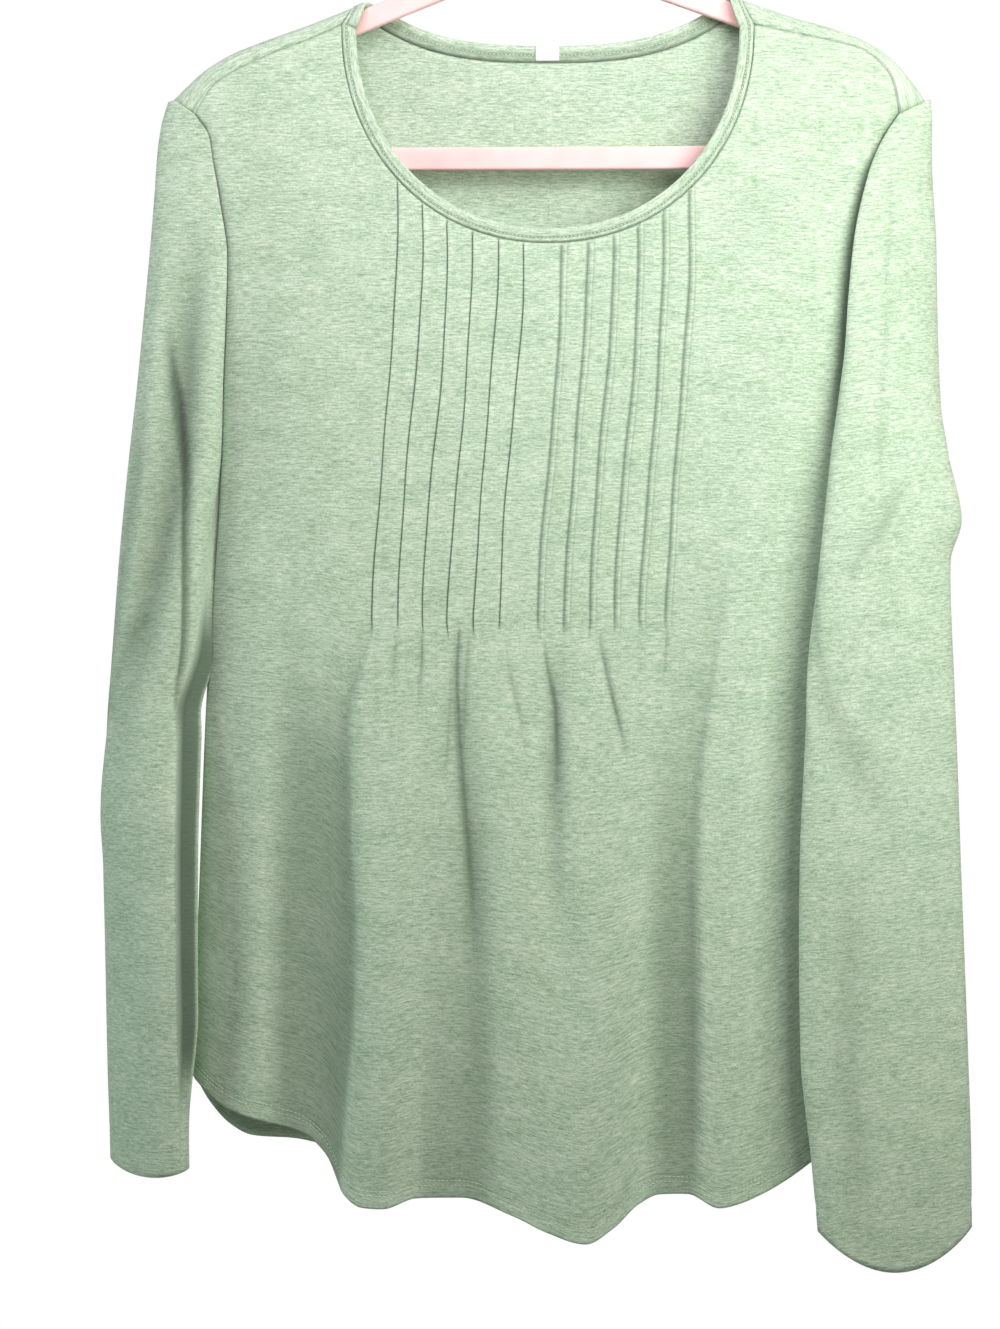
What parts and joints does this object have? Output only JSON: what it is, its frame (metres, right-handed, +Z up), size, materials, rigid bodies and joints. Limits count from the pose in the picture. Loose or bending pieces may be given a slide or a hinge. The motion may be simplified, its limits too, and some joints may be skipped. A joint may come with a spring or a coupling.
{
  "type": "long sleeve top on a hanger",
  "caption": "Long sleeve jersey top with a scoop neck, pintucks and a curved hem, hanging on a slim flocked hanger.",
  "frame": {"origin": "inner top of the hanger's hook, where a rod carries it", "axes": "+Z up; +X to the right of a viewer who faces the front of the top; the front of the top faces -Y"},
  "size_m": [0.5305, 0.102, 0.8777],
  "materials": {
    "sage_jersey": "heathered knit jersey",
    "white_label": "woven, blank",
    "pink_flock": "flocked",
    "chrome": "polished"
  },
  "bodies": {
    "root": {"front": "sage_jersey", "back": "sage_jersey", "sleeve_left": "sage_jersey", "sleeve_right": "sage_jersey", "neckband": "sage_jersey", "neck_label": "white_label", "hanger_frame": "pink_flock", "hanger_hook": "chrome"}
  },
  "joints": []
}
